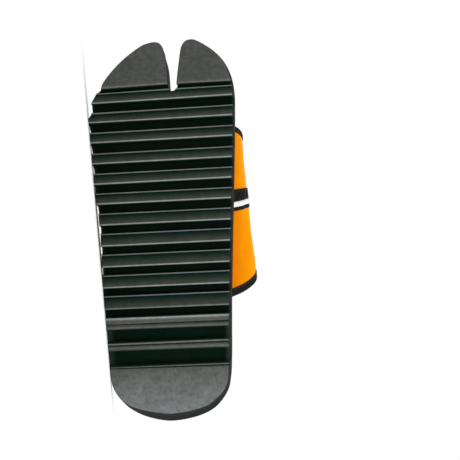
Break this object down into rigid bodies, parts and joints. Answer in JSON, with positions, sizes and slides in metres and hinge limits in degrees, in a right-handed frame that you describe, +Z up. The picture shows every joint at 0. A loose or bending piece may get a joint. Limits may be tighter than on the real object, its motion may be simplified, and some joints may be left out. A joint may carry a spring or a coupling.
{
  "type": "tabi sandal",
  "caption": "Split-toe slide sandal with a thick black ripple sole and a wide orange instep strap, bound in black and striped black and white, closed by a flap on its outer side.",
  "frame": {"origin": "the middle of the shoe's bounding box at floor level, with the shoe lying on its lateral side", "axes": "+X towards the heel, the longest way; +Y from the tread towards the top of the strap; +Z up, towards the medial side of the shoe"},
  "size_m": [0.2782, 0.115, 0.1242],
  "materials": {
    "sole_foam": "matte",
    "insole_cloth": "matte",
    "strap": "satin",
    "lining": "matte",
    "binding": "matte",
    "piping": "matte"
  },
  "bodies": {
    "root": {"sole": "sole_foam", "insole": "insole_cloth", "upper": "strap", "binding_front": "binding", "binding_rear": "binding", "binding_flap": "binding", "binding_lateral_rear": "binding", "binding_lateral_front": "binding", "stripe_front": "binding", "stripe_piping": "piping", "stripe_rear": "binding"}
  },
  "joints": []
}
